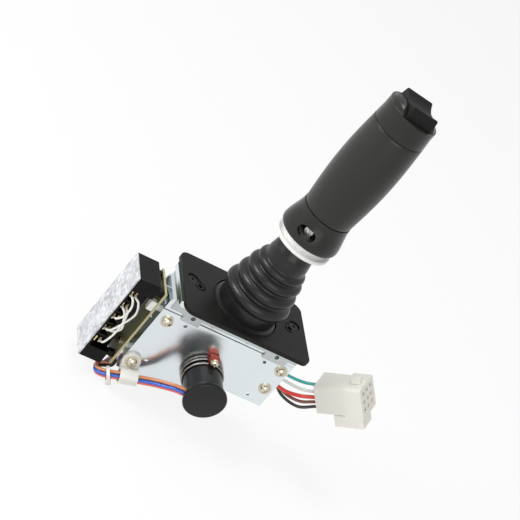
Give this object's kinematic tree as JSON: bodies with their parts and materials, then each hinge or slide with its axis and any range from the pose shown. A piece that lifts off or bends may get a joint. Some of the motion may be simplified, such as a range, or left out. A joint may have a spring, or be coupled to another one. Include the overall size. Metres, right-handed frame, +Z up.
{
  "type": "industrial joystick",
  "caption": "Single axis industrial joystick with a rubber boot, lock ring, long grip with a rocker on top, zinc frame with sensor and control module, and a wired connector.",
  "frame": {"origin": "on the top face of the bezel plate, on the axis of the lever", "axes": "+Z up the lever, +X along the bezel towards the output leads, -Y towards the sensor; the lever swings about Y"},
  "size_m": [0.1947, 0.0693, 0.2713],
  "materials": {
    "black_plastic": "fine grained moulded",
    "grip_plastic": "smooth satin moulded",
    "grip_rubber": "soft matte",
    "boot_rubber": "satin rubber",
    "zinc": "bright blue zinc plated sheet",
    "rough_zinc": "grey zinc plated",
    "steel": "turned",
    "screw_zinc": "yellowish zinc plated",
    "spring_steel": "wire",
    "black_steel": "black oxide",
    "bronze": "sintered",
    "brass": "tinned brass",
    "ring_metal": "satin rim and polished neck",
    "pot_case": "moulded",
    "cover_rubber": "smooth moulded",
    "clamp_wire": "dark wire",
    "copper_block": "copper coloured",
    "laminate": "circuit board laminate",
    "nylon": "natural nylon",
    "case_plastic": "glossy moulded",
    "resin": "cloudy cast resin",
    "white_wire": "insulation",
    "blue_wire": "insulation",
    "black_wire": "insulation",
    "orange_wire": "insulation",
    "salmon_wire": "insulation",
    "teal_wire": "insulation",
    "red_wire": "insulation",
    "brown_wire": "insulation"
  },
  "bodies": {
    "base": {"bezel_plate": "black_plastic", "bezel_screws": "black_steel", "flange_plate": "zinc", "boot": "boot_rubber", "outer_channel": "rough_zinc", "inner_channel": "zinc", "front_plate": "zinc", "rear_plate": "zinc", "frame_columns": "steel", "front_screws": "screw_zinc", "rear_screws": "screw_zinc", "pivot_bushes": "bronze", "centring_spring": "spring_steel", "spring_post": "steel", "stop_pins": "steel", "lock_quadrants": "zinc", "pot_body": "pot_case", "pot_nut": "brass", "pot_cover": "cover_rubber", "clamp_wires": "clamp_wire", "clamp_block": "copper_block", "clamp_screw": "screw_zinc", "circuit_board": "laminate", "board_posts": "nylon", "board_screws": "screw_zinc", "board_header": "nylon", "module_case": "case_plastic", "module_resin": "resin", "terminals": "brass", "jumper_wires": "white_wire", "wire_blue": "blue_wire", "wire_black": "black_wire", "wire_orange": "orange_wire", "wire_red": "salmon_wire", "cable_clip": "nylon", "clip_screw": "screw_zinc", "cable_tie": "nylon", "lead_saddle": "nylon", "lead_teal": "teal_wire", "lead_white": "white_wire", "lead_red": "red_wire", "lead_brown": "brown_wire", "lead_black": "black_wire", "connector_shell": "nylon", "connector_contacts": "brass"},
    "lever": {"pivot_shaft": "steel", "lever_hub": "steel", "hub_pin": "steel", "lever_tube": "steel", "grip_collar": "grip_plastic", "grip_screw": "steel", "grip_core": "grip_plastic", "grip_sleeve": "grip_rubber", "grip_cap": "grip_plastic", "lock_spring": "spring_steel"},
    "lock": {"lock_ring": "ring_metal", "ring_pin": "steel", "lock_rod": "steel", "gate_pin": "steel"},
    "steering_rocker": {"rocker": "black_plastic"}
  },
  "joints": [
    {"name": "lever_tilt", "type": "hinge", "parent": "base", "child": "lever", "pos_m": [0, 0, -0.052], "axis": [0, 1, 0], "range_deg": [-15, 15], "stiffness_Nm_per_rad": 2.5, "deforming": ["boot", "centring_spring"]},
    {"name": "ring_lift", "type": "slide", "parent": "lever", "child": "lock", "axis": [0, 0, 1], "range_m": [0, 0.004], "stiffness_N_per_m": 800, "springref_m": -0.006, "deforming": ["lock_spring"]},
    {"name": "rocker_tilt", "type": "hinge", "parent": "lever", "child": "steering_rocker", "pos_m": [0, 0, 0.1732], "axis": [0.9962, 0, -0.0872], "range_deg": [-8, 8], "stiffness_Nm_per_rad": 0.25}
  ]
}
